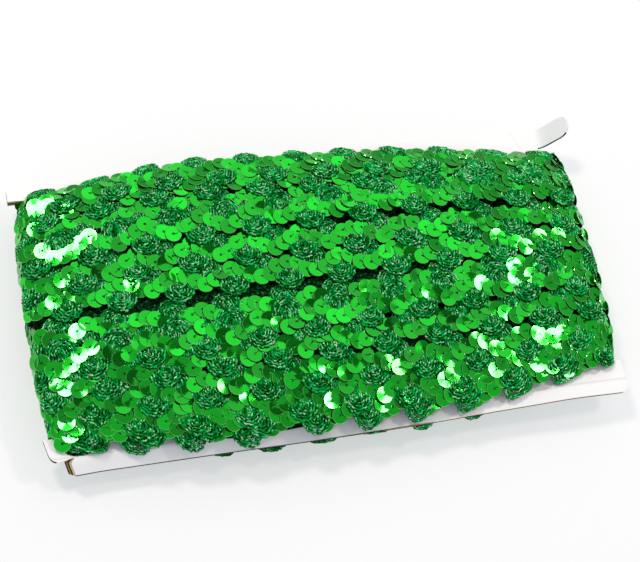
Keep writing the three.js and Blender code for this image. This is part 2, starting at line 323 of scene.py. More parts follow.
# The cut edge shows its plies but for the curled tab, where it is painted all dark as shade, and the near
# left corner, where it is all dark too, and the far right tab's end, which is white.
dark_edge_and_painted_shade = ((grid_x > 85) & (grid_y > 40)) | ((grid_x < -NOTCH_END - 1) & (grid_y < 0))
at_tab_end = (grid_x > HALF_LENGTH - 0.01) & (grid_y > NOTCH_FAR + 0.2)
paper_end = np.all(at_tab_end[card_faces], axis=1)
card_marks = {
    # Where the edge is painted dark, its depth mark stays 0 through the board, so the whole wall takes the
    # darkest brown.
    "depth": (is_upper & ~dark_edge_and_painted_shade).astype(float),
    "worn": is_upper * (grid_y < 0.01 - HALF_WIDTH) * (1 - eased(grid_x, -10, 40)),
}
card_materials = [
    finish_of("white faced board", {"Specular IOR Level": 0.4}, white_face),
    finish_of("cut board edge", {"Roughness": 0.9, "Specular IOR Level": 0.2}, cut_edge),
]
card = add_piece(
    "notched_card", card_points, card_faces, card_materials,
    indices=(is_wall & ~paper_end).astype(int), attributes=card_marks, smooth=35,
)
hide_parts("card")

# The wound turns. One long trim goes round the card about thirty times, each turn laid over the far half of
# the one before. Under the turns that show, only their braid is seen, in the gaps between fans, and it is
# painted near black as shade.
PERIOD = 19.3
WAVE = 2.6
HALF_TRIM = 8.3
REACH = 101.0
CORNER_DRAW_IN = 8.0
RIM_HEIGHT = 2.5
TOP_CROWN = 8.2
BASE_CROWN = 11.5
SHOULDER = 0.94
STATION_SPACING = 48.0
FAR_RIM = np.array([[47.4, 54.0, 53.4, 49.8, 42.0]])
NEAR_RIM = np.array([[-46.4, -55.4, -54.4, -51.8, -44.0]])
UNDER_INSET = 3
LAST_ROW_SPARE = 2.8
LAST_ROW_PEEK = 3.5
GROUND_DEPTH = 1.4
VALLEY_DEPTH = 2.0
TABLE_TOP = -CARD_MIDDLE[2]
SKIN_OVER_TABLE = 1.4

# Each row's middle line at five stations along the card, the place of one crest of its wave, how far its
# far and near sides rise over its middle or dip under the next row, and how far its middle is raised.
ROWS = [
    {"stations": [44.2, 48.4, 46.6, 43.6, 38.0], "crest": 10.4, "far": -1.0, "near": 0.9, "base": 0.1},
    {"stations": [38.4, 42.9, 40.8, 38.8, 34.2], "crest": 4.4, "far": -1.6, "near": 0.6, "base": 0.1},
    {"stations": [30.9, 33.6, 31.4, 31.0, 29.4], "crest": -2.6, "far": -1.6, "near": -0.8, "base": 0.1},
    {"stations": [21.5, 25.2, 26.9, 27.4, 25.6], "crest": -0.1, "far": 0.5, "near": 0.5, "base": 0.2},
    {"stations": [11.8, 15.0, 15.5, 15.3, 14.6], "crest": -4.9, "far": -2.6, "near": 0.5, "base": 0.1},
    {"stations": [3.8, 5.0, 5.0, 5.2, 4.6], "crest": 7.9, "far": -1.4, "near": 0.4, "base": 0.1},
    {"stations": [-8.4, -9.2, -8.3, -6.4, -5.6], "crest": -5.2, "far": -1.4, "near": -0.6, "base": 0.0},
    {"stations": [-18.0, -16.4, -13.6, -11.2, -10.2], "crest": -5.8, "far": 0.4, "near": 0.5, "base": 0.2},
    {"stations": [-26.2, -23.6, -22.8, -21.6, -19.6], "crest": -2.4, "far": -1.6, "near": 0.6, "base": 0.1},
    {"stations": [-33.4, -33.4, -33.2, -33.0, -29.6], "crest": -8.8, "far": -1.6, "near": 0.6, "base": 0.1},
    {"stations": [-39.2, -41.6, -41.7, -41.2, -36.0], "crest": 3.6, "far": -1.6, "near": 0.7, "base": 0.1},
    {"stations": [-41.2, -43.9, -46.5, -45.0, -38.8], "crest": 6.4, "far": -1.8, "near": 0.3, "base": 0.0},
    {"stations": [-41.4, -46.2, -48.4, -46.8, -40.6], "crest": 0.3, "far": -1.8, "near": -0.8, "base": -0.9},
]
LAST_ROW = len(ROWS) - 1


def column(name):
    """One column of the table of rows as an array."""
    return np.array([row[name] for row in ROWS])


def along_card(stations, row, x):
    """A Catmull-Rom line through the row's values at its stations: half the difference of the two
    neighbours is the slope at each station, and a cubic joins them."""
    knots = np.pad(stations, ((0, 0), (1, 1)), mode="edge")
    place = np.clip(x / STATION_SPACING + 2, 0, 4)
    first = np.minimum(place.astype(int), 3)
    share = place - first
    before, start, end, after = (knots[row, first + k] for k in range(4))
    start_slope, end_slope = (end - before) / 2, (after - start) / 2
    cubic = 2 * start - 2 * end + start_slope + end_slope
    square = 3 * end - 3 * start - 2 * start_slope - end_slope
    return ((cubic * share + square) * share + start_slope) * share + start


def outline_of_turn():
    """The turn's outline, a superellipse of exponent 4, from its left shoulder over the top and back.
    Travel runs at true length over the top, and is stretched elsewhere to hold a whole number of waves."""
    shoulder = np.arccos(SHOULDER**2)
    angle = np.linspace(np.pi - shoulder, -np.pi - shoulder, 8001)
    x = np.sign(np.cos(angle)) * np.abs(np.cos(angle)) ** 0.5
    z = np.sign(np.sin(angle)) * np.abs(np.sin(angle)) ** 0.5
    steps = np.hypot(np.diff(REACH * x), np.diff((TOP_CROWN + RIM_HEIGHT) * z))
    travel = np.concatenate([[0], np.cumsum(steps)])
    top = travel[np.argmax(angle < shoulder)]
    waves = round(travel[-1] / PERIOD)
    stretch = (waves * PERIOD - top) / (travel[-1] - top)
    travel = np.where(travel <= top, travel, top + (travel - top) * stretch)
    return travel - SHOULDER * REACH, x, z, waves


TRAVEL, X_SHARE, Z_SHARE, WAVES = outline_of_turn()


def outline_at(travel):
    """The outline's place at a travel, as shares of its reach and of its half height."""
    once_round = TRAVEL[0] + (travel - TRAVEL[0]) % (TRAVEL[-1] - TRAVEL[0])
    return np.interp(once_round, TRAVEL, X_SHARE), np.interp(once_round, TRAVEL, Z_SHARE)


def on_pack(travel, y, rise, spare=0.0):
    """A point on the pack's skin, moved outwards by rise. The half height falls from the middle to the rims
    as (1 - share^fullness)^0.6, and the ends draw in with the fourth power of y. Of what reaches past a
    rim, slack × (1 - e^(-excess / slack)) is kept, and it droops towards the card. The underside is drawn
    in a little short of the rim, less what is spare, and lies flat over the table."""
    x_share, z_share = outline_at(travel)
    middle = REACH * x_share
    above = z_share > 0
    rim = np.where(y > 0, along_card(FAR_RIM, 0, middle), -along_card(NEAR_RIM, 0, middle))
    excess = np.maximum(np.abs(y) - np.where(above, rim, rim - UNDER_INSET + spare), 0)
    slack = np.where(above, 3.0, 1.0)
    kept = slack * (1 - np.exp(-excess / slack))
    share = np.clip(np.abs(y) / rim, 0, 1)
    crown = np.where(above, TOP_CROWN, BASE_CROWN)
    fullness = np.where(above, 3, 4)
    half = RIM_HEIGHT + crown * (1 - share**fullness) ** 0.6
    reach = REACH - CORNER_DRAW_IN * np.abs(y / along_card(FAR_RIM, 0, np.zeros(1))) ** 4
    outward = unit(np.stack([
        np.sign(x_share) * np.abs(x_share) ** 3 / reach,
        np.sign(z_share) * np.abs(z_share) ** 3 / half,
    ], axis=-1))
    x = reach * x_share + rise * outward[..., 0]
    z = np.maximum(half * z_share, TABLE_TOP + SKIN_OVER_TABLE) + rise * outward[..., 1]
    droop = np.minimum(0.7 * (excess - kept), 1.3)
    return np.stack([x, y - np.sign(y) * (excess - kept), z - np.sign(z_share) * droop], axis=-1)


def middle_line(row, travel):
    """The row's middle line in Y at a travel."""
    return along_card(column("stations"), row, REACH * outline_at(travel)[0])


def on_row(row, travel, across, lift):
    """A point of a row, across millimetres to the far side of its middle line. Its rise eases by half a
    cosine wave from the row's base to the lift of its far or near edge. Under the card the last row has
    room to reach the near rim, and on the right past it, so that its fans peek out there."""
    edge = np.where(across > 0, column("far")[row], column("near")[row])
    eased_out = (1 - np.cos(np.pi * np.minimum(np.abs(across) / HALF_TRIM, 1))) / 2
    rise = column("base")[row] + edge * eased_out + lift
    on_right = eased(REACH * outline_at(travel)[0], 10, 40)
    spare = np.where(row == LAST_ROW, LAST_ROW_SPARE + LAST_ROW_PEEK * on_right, 0.0)
    return on_pack(travel, middle_line(row, travel) + across, rise, spare)


def under_turns(travel, y):
    """The ground below the rows, painted dark as shade: a little under the skin, and deeper by a bell curve
    in the valley that opens in front of the fourth row over the right half of the card."""
    middle = REACH * outline_at(travel)[0]
    valley = (middle_line(3, travel) + middle_line(4, travel)) / 2
    depth = VALLEY_DEPTH * eased(middle, -15, 15) * np.exp(-(((y - valley) / 4.5) ** 2))
    return on_pack(travel, y, -GROUND_DEPTH - depth)


def closed_tube(points):
    """Faces of a grid of points that closes on itself both ways."""
    number = np.arange(points.shape[0] * points.shape[1]).reshape(points.shape[:2])
    after, beside = np.roll(number, -1, axis=0), np.roll(number, -1, axis=1)
    both = np.roll(after, -1, axis=1)
    return np.stack([number, beside, both, after], axis=-1).reshape(-1, 4)


def shade_painted_braid(start):
    """Metallic braid seen deep between the turns: painted shade makes it near black green, with a few
    painted dull glints.
    """
    place = start.node("TexCoord", output="Object")
    yarn = start.node("TexNoise", inputs={"Vector": place, "Scale": 900.0, "Detail": 4.0, "Roughness": 0.7})
    colour = start.node("ValToRGB", {"stops": [
        (0.44, paint(0, 16, 5)), (0.56, paint(0, 52, 18)), (0.7, paint(40, 150, 76)),
    ]}, {"Fac": yarn})
    bump = start.node("Bump", inputs={"Strength": 0.8, "Distance": 0.0004, "Height": yarn})
    return {"Base Color": colour, "Normal": bump}


far_inset, near_inset = 1.2, 4.5
turn_travel = np.linspace(TRAVEL[0], TRAVEL[-1], 261)[:-1, None]
turn_middle = REACH * outline_at(turn_travel)[0]
far_side = along_card(FAR_RIM, 0, turn_middle) - far_inset
near_side = along_card(NEAR_RIM, 0, turn_middle) + near_inset
turn_share = np.linspace(0, 1, 64)[None, :]
ground = under_turns(turn_travel, far_side + (near_side - far_side) * turn_share)
shaded_braid = finish_of("braid in the shade", {"Metallic": 0.6, "Specular IOR Level": 0.05}, shade_painted_braid)
ground_piece = add_piece(
    "under_turns", ground.reshape(-1, 3), closed_tube(ground), [shaded_braid], smooth=60,
)
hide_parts("wound_trim")

# The braid fans. In each bend of the trim, metallic yarn is chain-stitched into a half-round fan of six
# arcs, one inside the other, whose arms run up under the sequins. One fan hangs from every crest of the
# wave, on its near side, and one from every trough, on its far side.
ARC_RADII = [5.0, 4.0, 3.0, 2.0, 1.15, 0.4]
FAN_CENTRE = 2.9
ARM_START = 0.4
YARN_HALF_WIDTH = 0.55
YARN_HALF_HEIGHT = 0.5
ZIGZAG = 0.13
DOME = 0.35
CLEAR_OF_BOARD = 0.15
CLEAR_OF_TABLE = 0.02
TOP_FROM_SHARE = 0.35
LAST_ROW_SHIFT = 9.2
rng = np.random.default_rng(41)


def u_path(radius, steps):
    """An arc's path from arm to arm, by its length: down one arm, half round the fan's centre, and up the
    other. Gives the place along the trim and the place across it, towards the fan's side."""
    arm_start = ARM_START - WAVE * np.cos(2 * np.pi * radius / PERIOD)
    arm = FAN_CENTRE - arm_start
    length = np.linspace(0, 2 * arm + np.pi * radius, steps)
    turn = np.clip((length - arm) / radius, 0, np.pi)
    past = np.maximum(length - arm - np.pi * radius, 0)
    across = np.where(length < arm, arm_start + length, FAN_CENTRE + radius * np.sin(turn) - past)
    return -radius * np.cos(turn), across


def normal_on_row(row, travel, across):
    """The row's outward normal, from the cross product of its slopes along and across."""
    small = 0.25
    along_slope = on_row(row, travel + small, across, 0) - on_row(row, travel - small, across, 0)
    across_slope = on_row(row, travel, across + small, 0) - on_row(row, travel, across - small, 0)
    return unit(np.cross(along_slope, across_slope))


def strands(centre, normal, wide, tall):
    """Closed four-sided strands along rows of centre points: at each point a diamond of half width wide
    across the path and half height tall along the normal."""
    along = unit(np.gradient(centre, axis=1))
    beside = unit(np.cross(normal, along))
    out = unit(np.cross(along, beside))
    angles = np.arange(4) * np.pi / 2
    ring = (
        np.cos(angles)[:, None] * (wide[..., None] * beside)[:, :, None, :]
        + np.sin(angles)[:, None] * (tall[..., None] * out)[:, :, None, :]
    )
    points = centre[:, :, None, :] + ring
    count, length = centre.shape[:2]
    number = np.arange(count * length * 4).reshape(count, length, 4)
    turned = np.roll(number, -1, axis=2)
    sides = np.stack([number[:, :-1], number[:, 1:], turned[:, 1:], turned[:, :-1]], axis=-1)
    caps = [number[:, 0, :], number[:, -1, ::-1]]
    faces = np.concatenate([sides.reshape(-1, 4), caps[0], caps[1]])
    return points.reshape(-1, 3), faces[:, ::-1]


def laid_clear(points, above):
    """Presses what would go into the table flat against it, and what would go into the card flat against
    its upper side, or its lower side where above is False."""
    x, y, z = np.moveaxis(points, -1, 0)
    over_card = is_card(x, y) & (np.abs(x) < HALF_LENGTH) & (np.abs(y) < HALF_WIDTH)
    middle = board_middle(x, y)[..., 2]
    top, base = middle + BOARD / 2 + CLEAR_OF_BOARD, middle - BOARD / 2 - CLEAR_OF_BOARD
    z = np.where(over_card, np.where(above, np.maximum(z, top), np.minimum(z, base)), z)
    return np.stack([x, y, np.maximum(z, TABLE_TOP + CLEAR_OF_TABLE)], axis=-1)


def joined(parts):
    """Several (points, faces) as one, with the faces numbered on."""
    starts = np.cumsum([0] + [len(points) for points, faces in parts[:-1]])
    points = np.concatenate([points for points, faces in parts])
    faces = np.concatenate([faces + start for start, (_, faces) in zip(starts, parts)])
    return points, faces


def fan_strands(row, centre_travel, side, stitch, rings_per_stitch, above):
    """The arcs of many fans. The yarn swells and narrows with each stitch and leans to each side by turns,
    and the fan is domed over its middle as 1 - (radius / outer radius)². Also gives each point's tint, at
    random from stitch to stitch, and a mark for painted light and shade: 1 for points along the top of the
    yarn, which on the underside is the side towards the card too, and 0 elsewhere, where shade is painted."""
    parts, tints = [], []
    for radius in ARC_RADII:
        arm = FAN_CENTRE - ARM_START + WAVE * np.cos(2 * np.pi * radius / PERIOD)
        stitches = round((2 * arm + np.pi * radius) / stitch)
        steps = rings_per_stitch * stitches + 1
        place, across = u_path(radius, steps)
        shape = (len(row), steps)
        beat = np.arange(steps) % rings_per_stitch
        swell = np.where(beat == 0, 0.78, 1.12) + rng.normal(0, 0.09, shape)
        leans_out = np.arange(steps) // rings_per_stitch % 2 == 0
        zigzag = np.where(leans_out, ZIGZAG, -ZIGZAG) + rng.normal(0, 0.07, shape)
        dome = DOME * (1 - (radius / ARC_RADII[0]) ** 2)
        risen = eased(across, 0.3, 3.2)
        lift = 0.1 + 0.4 * risen + dome * risen + rng.normal(0, 0.07, shape)
        travel = centre_travel[:, None] + place * (1 + zigzag / radius)
        sideways = side[:, None] * (across + zigzag * np.sin(np.linspace(0, np.pi, steps)))
        rows = row[:, None]
        centre = on_row(rows, travel, sideways, lift)
        normal = normal_on_row(rows, travel, sideways)
        points, faces = strands(centre, normal, YARN_HALF_WIDTH * swell, YARN_HALF_HEIGHT * swell)
        parts.append((laid_clear(points, above), faces))
        tint = rng.random((len(row), stitches + 1))
        tints.append(np.repeat(np.repeat(tint, rings_per_stitch, axis=1)[:, :steps].ravel(), 4))
    points, faces = joined(parts)
    # The mark for painted light and shade: 1 along the top of each strand, and on the underside along the
    # side towards the card too; the rest gets painted shade.
    ridge = np.tile([0.0, 1.0, 0.0, 0.0 if above else 1.0], len(points) // 4)
    return points, faces, {"tint": np.concatenate(tints), "ridge": ridge}


def metallic_yarn(start):
    """Green lurex, teal to leaf green from stitch to stitch, with painted shade, dark green, between its
    twists and down the sides of each strand, and painted pale glints, most of them along its top.
    """
    place = start.node("TexCoord", output="Object")
    tint = start.node("Attribute", {"attribute_name": "tint"}, output="Fac")
    twist = start.node("TexNoise", inputs={
        "Vector": place, "Scale": 2300.0, "Detail": 3.0, "Roughness": 0.75,
    })
    fleck = start.node("TexVoronoi", inputs={"Vector": place, "Scale": 1700.0}, output="Color")
    spark = start.node("SeparateColor", inputs={0: fleck}, output="Red")
    base = start.node("ValToRGB", {"stops": [
        (0.0, paint(0, 88, 26)), (0.3, paint(0, 150, 54)), (0.6, paint(0, 184, 74)),
        (0.86, paint(30, 210, 108)), (0.97, paint(120, 236, 156)), (1.0, paint(196, 196, 160)),
    ]}, {"Fac": tint})
    ridge = start.node("Attribute", {"attribute_name": "ridge"}, output="Fac")
    # Painted shade: dark green between the twists and down the sides of each strand, lighter along its top.
    dark = start.node("MapRange", inputs={0: twist + ridge * 0.26, 1: 0.49, 2: 0.69, 3: 0.0, 4: 1.0})
    colour = dark.mix(paint(0, 42, 12), base)
    # Painted highlight: pale glints flecked on, mostly along the top of each strand.
    bright = start.node("MapRange", inputs={
        0: spark * (ridge * 0.4 + 0.6), 1: 0.74, 2: 0.82, 3: 0.0, 4: 1.0,
    })
    colour = (bright * 0.9).mix(colour, paint(180, 255, 196))
    bump = start.node("Bump", inputs={"Strength": 1.0, "Distance": 0.00025, "Height": twist + spark * 0.5})
    return {
        "Base Color": colour, "Normal": bump,
        "Roughness": 0.45 - bright * 0.15, "Metallic": 0.85 - bright * 0.6,
    }


yarn = finish_of("metallic yarn", {"Specular IOR Level": 0.1}, metallic_yarn)
fan_row, fan_wave, fan_side = (
    grid.ravel() for grid in np.meshgrid(np.arange(len(ROWS)), np.arange(WAVES), [-1, 1], indexing="ij")
)
fan_travel = column("crest")[fan_row] + PERIOD * (fan_wave + 0.5 * (fan_side > 0))
fan_travel = fan_travel + rng.normal(0, 0.35, fan_travel.shape)
fan_x, fan_height = outline_at(fan_travel)
on_top = fan_height > TOP_FROM_SHARE
in_last = fan_row == LAST_ROW
# The last row shows only its near fans: on top over the left third, and under the card where they peek out.
fan_travel = fan_travel + np.where(in_last & ~on_top, LAST_ROW_SHIFT, 0)
shows = ~in_last | ((fan_side < 0) & (~on_top | (fan_x < -0.25)))
for name, chosen, stitch, rings in [
    ("braid_fans_far", on_top & (fan_row < 4), 1.1, 2),
    ("braid_fans_middle", on_top & (fan_row >= 4) & (fan_row < 9), 1.1, 2),
    ("braid_fans_near", on_top & shows & (fan_row >= 9), 1.1, 2),
    ("braid_fans_under", ~on_top & ~in_last, 1.8, 1),
    ("braid_fans_under_edge", ~on_top & shows & in_last, 1.1, 2),
]:
    points, faces, marks = fan_strands(
        fan_row[chosen], fan_travel[chosen], fan_side[chosen], stitch, rings, "under" not in name
    )
    add_piece(name, points, faces, [yarn], attributes=marks, smooth=80)

# The cord under the sequins. A thicker plait of the same yarn runs in waves down the middle of the trim,
# and the sequins and the arms of the fans are sewn to it.
CORD_RINGS_PER_WAVE = 14
CORD_HALF_WIDTH = 1.0
CORD_HALF_HEIGHT = 0.5
cord_steps = CORD_RINGS_PER_WAVE * WAVES
cord_travel = TRAVEL[0] + np.arange(cord_steps + 1) * PERIOD / CORD_RINGS_PER_WAVE
cord_row = np.arange(len(ROWS))[:, None]
cord_phase = 2 * np.pi * (cord_travel - column("crest")[:, None]) / PERIOD
cord_across = WAVE * np.cos(cord_phase)
cord_swell = np.where(np.arange(cord_steps + 1) % 2 == 0, 0.85, 1.1) * np.ones(cord_across.shape)
cord_points, cord_faces = strands(
    on_row(cord_row, cord_travel, cord_across, -0.1),
    normal_on_row(cord_row, cord_travel, cord_across),
    CORD_HALF_WIDTH * cord_swell,
    CORD_HALF_HEIGHT * cord_swell,
)
cord_above = np.repeat(np.broadcast_to(outline_at(cord_travel)[1] > 0, cord_across.shape), 4)
# The cord's marks: a tint at random for each ring, and 1 along the top of the strand, where the painted
# light is.
cord_marks = {
    "tint": np.repeat(rng.random(cord_across.size), 4),
    "ridge": np.tile([0.0, 1.0, 0.0, 0.0], cord_across.size),
}
add_piece(
    "sewn_cord", laid_clear(cord_points, cord_above), cord_faces, [yarn],
    attributes=cord_marks, smooth=80,
)

# The sequins. Flat 6 mm rounds of metallised film with a punched hole, sewn along the wave so that each
# one lies on the right side of the one before, like roof tiles. They tip a little, each its own way.
SEQUIN_RADIUS = 3.0
FACE_RADIUS = 2.84
HOLE_RADIUS = 0.5
FILM = 0.16
PER_WAVE = 6
SEWN_LIFT = 0.72
TILE_SLOPE = 0.11
LEAN_LENGTH = 26
LEAN_TOGETHER = 0.035
LEAN_APART = 0.055
SIDES = 16
CAMERA_PLACE = np.array([-133.2, -223.8, 539.6])
KEY_LIGHT = np.array([-300.0, 420.0, 860.0])
SIDE_LIGHT = np.array([594.0, 66.0, 802.0])

# Where sequins stand so that they throw a light at the camera: the middle of a patch, how far it reaches
# along and across the card, the share of its sequins, and the light.
GLINTS = [
    (-90, 38, 7, 8, 0.6, KEY_LIGHT),
    (-88, 21, 8, 8, 0.6, KEY_LIGHT),
    (-89, 5, 6, 9, 0.6, KEY_LIGHT),
    (-87, -14, 6, 8, 0.55, KEY_LIGHT),
    (-93, -31, 5, 14, 0.45, KEY_LIGHT),
    (-77, 27, 5, 4, 0.5, KEY_LIGHT),
    (-68, 8, 4, 3, 0.5, KEY_LIGHT),
    (-71, -24, 4, 3, 0.5, KEY_LIGHT),
    (36, 2, 4, 5, 0.6, SIDE_LIGHT),
    (77, 7, 12, 7, 0.4, SIDE_LIGHT),
    (15, -5, 5, 3, 0.6, SIDE_LIGHT),
    (69, -6, 16, 8, 0.3, SIDE_LIGHT),
    (43, -17, 5, 8, 0.5, SIDE_LIGHT),
    (63, -20, 4, 4, 0.6, SIDE_LIGHT),
    (18, -37, 4, 7, 0.5, SIDE_LIGHT),
    (37, -37, 4, 7, 0.5, SIDE_LIGHT),
    (57, -38, 6, 9, 0.45, SIDE_LIGHT),
    (76, -38, 8, 10, 0.45, SIDE_LIGHT),
    (20, -48, 16, 4, 0.3, SIDE_LIGHT),
]


def equal_steps(per_wave):
    """Travel from the crest to places that part one wave of the chain into equal lengths."""
    travel = np.linspace(0, PERIOD, 1001)
    slope = WAVE * 2 * np.pi / PERIOD * np.sin(2 * np.pi * travel / PERIOD)
    steps = np.hypot(1, (slope[1:] + slope[:-1]) / 2) * np.diff(travel)
    length = np.concatenate([[0], np.cumsum(steps)])
    return np.interp(np.arange(per_wave) / per_wave * length[-1], length, travel)


def ripples(x, y, length, seed):
    """Smooth noise of about that wavelength: the mean of six sine waves of random heading and phase."""
    source = np.random.default_rng(seed)
    heading = source.uniform(0, 2 * np.pi, 6)
    phase = source.uniform(0, 2 * np.pi, 6)
    count = 2 * np.pi / (length * source.uniform(0.7, 1.5, 6))
    waves = np.sin((x[..., None] * np.cos(heading) + y[..., None] * np.sin(heading)) * count + phase)
    return waves.mean(axis=-1) * 1.8


def sequin_shape():
    """One sequin in its own plane: the hole's edge, the edge of its face, and its rim, each a ring of
    points, joined into a closed ring with a slanting edge."""
    angle = np.arange(SIDES) * 2 * np.pi / SIDES
    rings = [(HOLE_RADIUS, 0.0), (FACE_RADIUS, FILM / 2), (SEQUIN_RADIUS, -FILM / 2)]
    points = np.concatenate([
        np.stack([radius * np.cos(angle), radius * np.sin(angle), np.full(SIDES, height)], axis=-1)
        for radius, height in rings
    ])
    number = np.arange(3 * SIDES).reshape(3, SIDES)
    inner, outer = number, np.roll(number, -1, axis=0)
    faces = np.stack([inner, outer, np.roll(outer, -1, axis=1), np.roll(inner, -1, axis=1)], axis=-1)
    return points, faces.reshape(-1, 4)


def sequin_places(row):
    """Every sequin of the rows: its middle, the directions along the chain, across it and outwards, and its
    travel. Outwards is the skin's normal with half of the row's own added, and along the chain is the way
    to a point 0.12 of a radian of the wave ahead, less its outward part."""
    steps = equal_steps(PER_WAVE)
    chain = (steps + PERIOD * np.arange(WAVES)[:, None]).ravel()
    rows = np.repeat(row[:, None], len(chain), axis=1)
    travel = column("crest")[rows] + chain + rng.normal(0, 0.3, rows.shape)
    phase = 2 * np.pi * (travel - column("crest")[rows]) / PERIOD
    across = WAVE * np.cos(phase) + rng.normal(0, 0.35, rows.shape)
    middle = on_row(rows, travel, across, SEWN_LIFT)
    turned = 0.12
    travel_ahead = travel + turned * PERIOD / (2 * np.pi)
    across_ahead = across + WAVE * np.cos(phase + turned) - WAVE * np.cos(phase)
    along = unit(on_row(rows, travel_ahead, across_ahead, SEWN_LIFT) - middle)
    small = 0.5
    skin_y = middle_line(rows, travel) + across
    skin = unit(np.cross(
        on_pack(travel + small, skin_y, 0) - on_pack(travel - small, skin_y, 0),
        on_pack(travel, skin_y + small, 0) - on_pack(travel, skin_y - small, 0),
    ))
    outward = unit(skin + 0.5 * normal_on_row(rows, travel, across))
    along = unit(along - outward * (along * outward).sum(-1, keepdims=True))
    return middle, along, np.cross(outward, along), outward, travel


def metallised_film(start):
    """Green metallised film under clear lacquer, a little lighter or darker from one sequin to the next,
    with a painted pale highlight round its edge.
    """
    place = start.node("TexCoord", output="Object")
    tone = start.node("Attribute", {"attribute_name": "tone"}, output="Fac")
    out = start.node("Attribute", {"attribute_name": "out"}, output="Fac")
    haze = start.node("TexNoise", inputs={"Vector": place, "Scale": 700.0, "Detail": 3.0})
    face = start.node("ValToRGB", {"stops": [
        (0.0, paint(6, 136, 20)), (0.5, paint(8, 186, 30)),
        (0.85, paint(12, 206, 36)), (1.0, paint(18, 222, 44)),
    ]}, {"Fac": tone})
    face = (haze * 0.25).mix(face, paint(0, 140, 24))
    # Painted highlight: a pale line round the outer edge of the face and on the slanting rim.
    rim = start.node("MapRange", inputs={0: out, 1: 0.915, 2: 0.955, 3: 0.0, 4: 0.55})
    colour = rim.mix(face, paint(120, 210, 116))
    bump = start.node("Bump", inputs={"Strength": 0.025, "Distance": 0.00005, "Height": haze})
    return {"Base Color": colour, "Roughness": haze * 0.05 + 0.045, "Normal": bump}


film_constants = {"Metallic": 0.94, "Coat Weight": 0.28, "Coat Roughness": 0.06, "Coat IOR": 1.5}
film = finish_of("metallised film", film_constants, metallised_film)
shape, shape_faces = sequin_shape()
middle, along, beside, outward, sequin_travel = sequin_places(np.arange(len(ROWS)))
lean_x, lean_y = (
    ripples(middle[..., 0], middle[..., 1], LEAN_LENGTH, seed) * LEAN_TOGETHER
    + rng.normal(0, LEAN_APART, middle.shape[:2])
    for seed in (5, 9)
)
tipped = unit(outward + (TILE_SLOPE + lean_x[..., None]) * along + lean_y[..., None] * beside)
is_bright = np.zeros(middle.shape[:2], bool)
for patch_x, patch_y, reach_x, reach_y, chance, lamp in GLINTS:
    near_by = np.hypot((middle[..., 0] - patch_x) / reach_x, (middle[..., 1] - patch_y) / reach_y) < 1
    caught = near_by & (middle[..., 2] > 0) & (rng.random(near_by.shape) < chance)
    halfway = unit(unit(CAMERA_PLACE - middle) + unit(lamp - middle)) + rng.normal(0, 0.02, middle.shape)
    tipped = np.where(caught[..., None], unit(halfway), tipped)
    is_bright = is_bright | caught
along = unit(along - tipped * (along * tipped).sum(-1, keepdims=True))
beside = np.cross(tipped, along)
spin = rng.uniform(0, 2 * np.pi, middle.shape[:2])
bend = rng.normal(0, 0.007, middle.shape[:2]) * np.where(is_bright, 0.35, 1)
bent_way = np.cos(spin)[..., None] * shape[:, 0] + np.sin(spin)[..., None] * shape[:, 1]
height = shape[:, 2] + bend[..., None] * bent_way**2
sequin_points = (
    middle[..., None, :]
    + along[..., None, :] * shape[:, 0, None]
    + beside[..., None, :] * shape[:, 1, None]
    + tipped[..., None, :] * height[..., None]
)
tones = np.repeat(np.clip(rng.normal(0.52, 0.27, middle.shape[:2]), 0, 1)[..., None], len(shape), axis=-1)
ring_shares = np.array([HOLE_RADIUS, FACE_RADIUS, SEQUIN_RADIUS]) / SEQUIN_RADIUS
outs = np.tile(np.repeat(ring_shares, SIDES), middle.shape[:2] + (1,))
sequin_top = outline_at(sequin_travel)[1] > TOP_FROM_SHARE
sequin_far = np.arange(len(ROWS))[:, None] < 6
for name, chosen in [
    ("sequins_far", sequin_top & sequin_far),
    ("sequins_near", sequin_top & ~sequin_far),
    ("sequins_under", ~sequin_top),
]:
    points = laid_clear(sequin_points[chosen], name != "sequins_under")
    faces = shape_faces + len(shape) * np.arange(len(points))[:, None, None]
    add_piece(
        name, points.reshape(-1, 3), faces.reshape(-1, 4), [film],
        attributes={"tone": tones[chosen].ravel(), "out": outs[chosen].ravel()}, smooth=30,
    )

# The sewing thread. Fine dark green thread comes up through each hole and runs on to the next sequin, or
# now and then back over the sequin before.
THREAD_HALF_WIDTH = 0.13
THREAD_HALF_HEIGHT = 0.08
THREAD_OVER_FILM = 0.04
backwards = rng.random(middle.shape[:2]) < 0.2
stitch_start = np.where(backwards, -1.7, -0.15)[..., None]
stitch_end = np.where(backwards, 0.15, 1.6)[..., None]
on_film = middle + tipped * (FILM / 2 + THREAD_OVER_FILM)
thread_ends = np.stack([on_film + along * stitch_start, on_film + along * stitch_end], axis=-2)
thread_normal = np.repeat(tipped[..., None, :], 2, axis=-2)
even = np.ones((backwards.size, 2))


def dull_thread(start):
    """Dark green twisted thread."""
    place = start.node("TexCoord", output="Object")
    twist = start.node("TexNoise", inputs={"Vector": place, "Scale": 3000.0, "Detail": 2.0})
    return {"Base Color": twist.mix(paint(0, 40, 10), paint(10, 96, 34))}


thread_points, thread_faces = strands(
    thread_ends.reshape(-1, 2, 3), thread_normal.reshape(-1, 2, 3),
    THREAD_HALF_WIDTH * even, THREAD_HALF_HEIGHT * even,
)
thread = finish_of("sewing thread", {"Roughness": 0.7}, dull_thread)
thread_above = np.repeat(sequin_top.ravel(), 8)
add_piece("sewing_thread", laid_clear(thread_points, thread_above), thread_faces, [thread])

# The studio floor. A large matt white sheet that glows softly, so that it stays pale round the pack and
# the pack's shadow on it stays light.
floor_mesh = bpy.data.meshes.new("studio_floor")
floor_mesh.from_pydata([(-6, -6, 0), (6, -6, 0), (6, 6, 0), (-6, 6, 0)], [], [(0, 1, 2, 3)])


